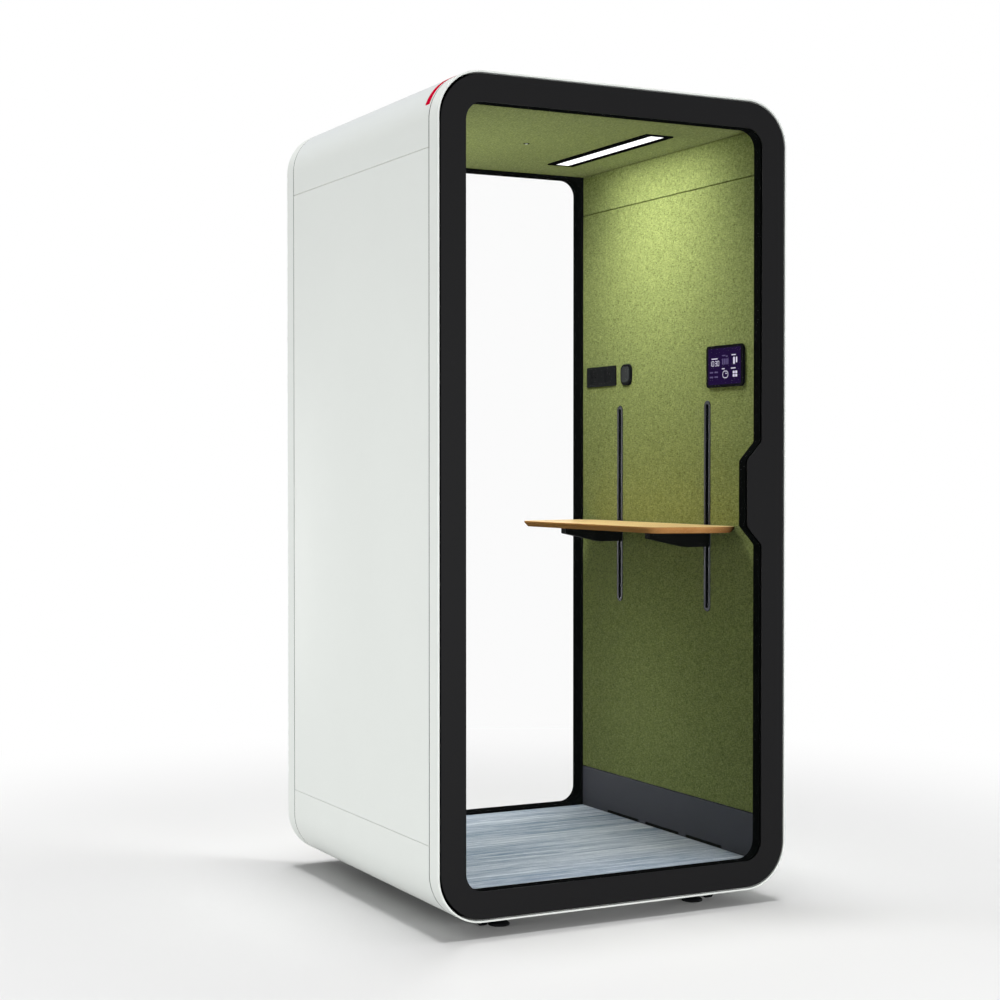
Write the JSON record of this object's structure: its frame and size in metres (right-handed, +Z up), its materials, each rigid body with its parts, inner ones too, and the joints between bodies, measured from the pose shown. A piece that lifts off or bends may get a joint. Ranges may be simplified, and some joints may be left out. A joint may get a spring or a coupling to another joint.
{
  "type": "acoustic office pod",
  "caption": "Acoustic office booth with a rounded white shell, glass door and rear window, felt lining, height-adjustable wall desk, ceiling lamp, sockets, switch and touch screen.",
  "frame": {"origin": "on the floor that the feet stand on, under the middle of the shell", "axes": "+Z up; +Y from the door towards the rear window; +X to the right of someone facing the door, towards the desk wall"},
  "size_m": [1.11, 1.1, 2.3],
  "materials": {
    "white_paint": "satin",
    "black_frame": "satin",
    "black_steel": "matte",
    "grey_paint": "satin",
    "green_felt": "matte",
    "grey_carpet": "matte",
    "plywood": "matte",
    "insulation": "matte",
    "steel": "satin",
    "clear_glass": "polished",
    "black_rubber": "matte",
    "oak": "satin",
    "dark_aluminium": "satin",
    "black_plastic": "matte",
    "grey_plastic": "satin",
    "screen": "gloss",
    "opal": "satin",
    "red_light": "gloss"
  },
  "bodies": {
    "pod": {"front_ring": "white_paint", "rear_ring": "white_paint", "front_jamb": "black_frame", "base_shell": "white_paint", "roof_shell": "white_paint", "status_light": "red_light", "left_outer_panel": "white_paint", "right_outer_panel": "white_paint", "left_wall_core": "insulation", "right_wall_core": "insulation", "roof_core": "insulation", "left_felt_panel": "green_felt", "right_felt_panel": "green_felt", "left_felt_header": "green_felt", "right_felt_header": "green_felt", "ceiling_felt": "green_felt", "floor_deck": "plywood", "carpet": "grey_carpet", "left_skirting": "grey_paint", "right_skirting": "grey_paint", "base_frame": "steel", "hinge_arm_top": "steel", "hinge_arm_bottom": "steel", "catch_magnet": "black_plastic", "rear_frame": "black_frame", "rear_bezel": "black_frame", "rear_glass": "clear_glass", "desk_rail_front": "dark_aluminium", "desk_rail_rear": "dark_aluminium", "socket_panel": "black_plastic", "switch_bezel": "black_plastic", "screen_housing": "black_plastic", "screen_glass": "screen", "lamp_housing": "black_frame", "lamp_diffuser": "opal", "motion_sensor": "opal", "fan_housing": "black_plastic", "ceiling_vent": "black_plastic", "roof_vent": "white_paint", "power_unit": "black_plastic"},
    "door": {"door_frame": "black_frame", "door_bezel": "black_frame", "door_glass": "clear_glass", "door_gasket": "black_rubber", "door_pull": "black_frame"},
    "desk": {"desk_top": "oak", "desk_bracket_front": "black_steel", "desk_bracket_rear": "black_steel", "desk_carriage_front": "black_plastic", "desk_carriage_rear": "black_plastic"},
    "switch": {"switch_button": "grey_plastic"},
    "fan": {"fan_rotor": "black_plastic"},
    "foot_front_left": {"levelling_foot_front_left": "black_plastic"},
    "foot_front_right": {"levelling_foot_front_right": "black_plastic"},
    "foot_rear_left": {"levelling_foot_rear_left": "black_plastic"},
    "foot_rear_right": {"levelling_foot_rear_right": "black_plastic"},
    "wheel_front_left": {"roller_front_left": "black_plastic"},
    "wheel_front_right": {"roller_front_right": "black_plastic"},
    "wheel_rear_left": {"roller_rear_left": "black_plastic"},
    "wheel_rear_right": {"roller_rear_right": "black_plastic"}
  },
  "joints": [
    {"name": "door_hinge", "type": "hinge", "parent": "pod", "child": "door", "pos_m": [-0.528, -0.5465, 1.171], "axis": [0, 0, -1], "range_deg": [0, 90]},
    {"name": "desk_slide", "type": "slide", "parent": "pod", "child": "desk", "axis": [0, 0, 1], "range_m": [-0.175, 0.365]},
    {"name": "switch_press", "type": "slide", "parent": "pod", "child": "switch", "axis": [1, 0, 0], "range_m": [0, 0.0025], "stiffness_N_per_m": 800},
    {"name": "fan_spin", "type": "hinge", "parent": "pod", "child": "fan", "pos_m": [-0.25, 0.18, 2.25], "axis": [0, 0, 1], "continuous": true},
    {"name": "foot_front_left_turn", "type": "hinge", "parent": "pod", "child": "foot_front_left", "pos_m": [-0.314, -0.431, 0.05], "axis": [0, 0, 1], "continuous": true},
    {"name": "foot_front_right_turn", "type": "hinge", "parent": "pod", "child": "foot_front_right", "pos_m": [0.314, -0.431, 0.05], "axis": [0, 0, 1], "continuous": true},
    {"name": "foot_rear_left_turn", "type": "hinge", "parent": "pod", "child": "foot_rear_left", "pos_m": [-0.314, 0.431, 0.05], "axis": [0, 0, 1], "continuous": true},
    {"name": "foot_rear_right_turn", "type": "hinge", "parent": "pod", "child": "foot_rear_right", "pos_m": [0.314, 0.431, 0.05], "axis": [0, 0, 1], "continuous": true},
    {"name": "wheel_front_left_spin", "type": "hinge", "parent": "pod", "child": "wheel_front_left", "pos_m": [-0.366, -0.431, 0.025], "axis": [1, 0, 0], "continuous": true},
    {"name": "wheel_front_right_spin", "type": "hinge", "parent": "pod", "child": "wheel_front_right", "pos_m": [0.366, -0.431, 0.025], "axis": [1, 0, 0], "continuous": true},
    {"name": "wheel_rear_left_spin", "type": "hinge", "parent": "pod", "child": "wheel_rear_left", "pos_m": [-0.366, 0.431, 0.025], "axis": [1, 0, 0], "continuous": true},
    {"name": "wheel_rear_right_spin", "type": "hinge", "parent": "pod", "child": "wheel_rear_right", "pos_m": [0.366, 0.431, 0.025], "axis": [1, 0, 0], "continuous": true}
  ]
}
